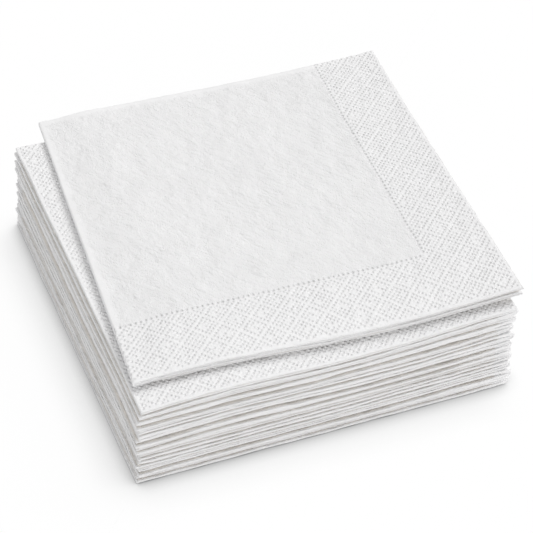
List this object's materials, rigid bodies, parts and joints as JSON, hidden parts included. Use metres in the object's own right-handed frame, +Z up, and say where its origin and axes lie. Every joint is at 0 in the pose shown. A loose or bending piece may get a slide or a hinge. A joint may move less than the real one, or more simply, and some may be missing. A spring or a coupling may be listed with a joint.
{
  "type": "stack of paper napkins",
  "caption": "Square stack of quarter-folded white tissue napkins with a dotted embossed border, the uppermost turned over and laid slightly askew; for wiping hands or setting under a drink.",
  "frame": {"origin": "centre of the bottom napkin's underside, on the surface that the stack lies on", "axes": "+Z up through the stack, -Y towards the open embossed front edges, +X towards the side where the stacked napkins have their second fold"},
  "size_m": [0.1343, 0.1349, 0.039],
  "materials": {
    "tissue": "matte embossed white tissue"
  },
  "bodies": {
    "root": {"napkin_01": "tissue", "napkin_02": "tissue", "napkin_03": "tissue", "napkin_04": "tissue", "napkin_05": "tissue", "napkin_06": "tissue", "napkin_07": "tissue", "napkin_08": "tissue", "napkin_09": "tissue", "napkin_10": "tissue", "top_napkin": "tissue"}
  },
  "joints": []
}
